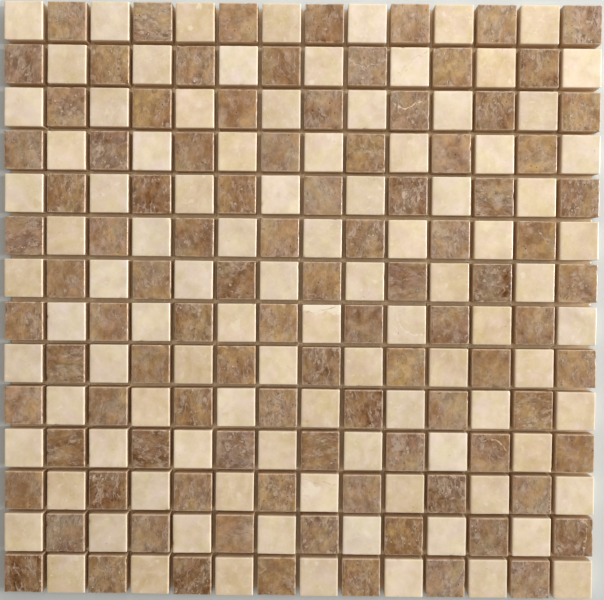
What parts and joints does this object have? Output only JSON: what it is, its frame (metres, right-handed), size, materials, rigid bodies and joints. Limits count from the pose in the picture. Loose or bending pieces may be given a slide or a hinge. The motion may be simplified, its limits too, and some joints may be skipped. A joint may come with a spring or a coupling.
{
  "type": "mosaic tile sheet",
  "caption": "Square sheet of small square polished stone tiles, cream and brown in a checkerboard, held at even open joints by a glass-fibre net glued across their backs.",
  "frame": {"origin": "middle of the net's underside, on the floor that the sheet lies on", "axes": "+X runs along a row of tiles, +Y runs up the columns, +Z points out of the polished faces"},
  "size_m": [0.3052, 0.3052, 0.01],
  "materials": {
    "cream_stone": "polished cream stone with faint veins, clouds and small filled pits; saw-cut matt sides",
    "brown_stone": "polished walnut-brown stone with clouds, white flecks, dark pits and rust spots; saw-cut matt sides",
    "backing_net": "off-white woven glass-fibre net, stiff with dried adhesive"
  },
  "bodies": {
    "root": {"cream_tiles_row_01": "cream_stone", "cream_tiles_row_02": "cream_stone", "cream_tiles_row_03": "cream_stone", "cream_tiles_row_04": "cream_stone", "cream_tiles_row_05": "cream_stone", "cream_tiles_row_06": "cream_stone", "cream_tiles_row_07": "cream_stone", "cream_tiles_row_08": "cream_stone", "cream_tiles_row_09": "cream_stone", "cream_tiles_row_10": "cream_stone", "cream_tiles_row_11": "cream_stone", "cream_tiles_row_12": "cream_stone", "cream_tiles_row_13": "cream_stone", "cream_tiles_row_14": "cream_stone", "brown_tiles_row_01": "brown_stone", "brown_tiles_row_02": "brown_stone", "brown_tiles_row_03": "brown_stone", "brown_tiles_row_04": "brown_stone", "brown_tiles_row_05": "brown_stone", "brown_tiles_row_06": "brown_stone", "brown_tiles_row_07": "brown_stone", "brown_tiles_row_08": "brown_stone", "brown_tiles_row_09": "brown_stone", "brown_tiles_row_10": "brown_stone", "brown_tiles_row_11": "brown_stone", "brown_tiles_row_12": "brown_stone", "brown_tiles_row_13": "brown_stone", "brown_tiles_row_14": "brown_stone", "backing_net_1_1": "backing_net", "backing_net_1_2": "backing_net", "backing_net_2_1": "backing_net", "backing_net_2_2": "backing_net", "backing_net_3_1": "backing_net", "backing_net_3_2": "backing_net", "backing_net_4_1": "backing_net", "backing_net_4_2": "backing_net"}
  },
  "joints": []
}
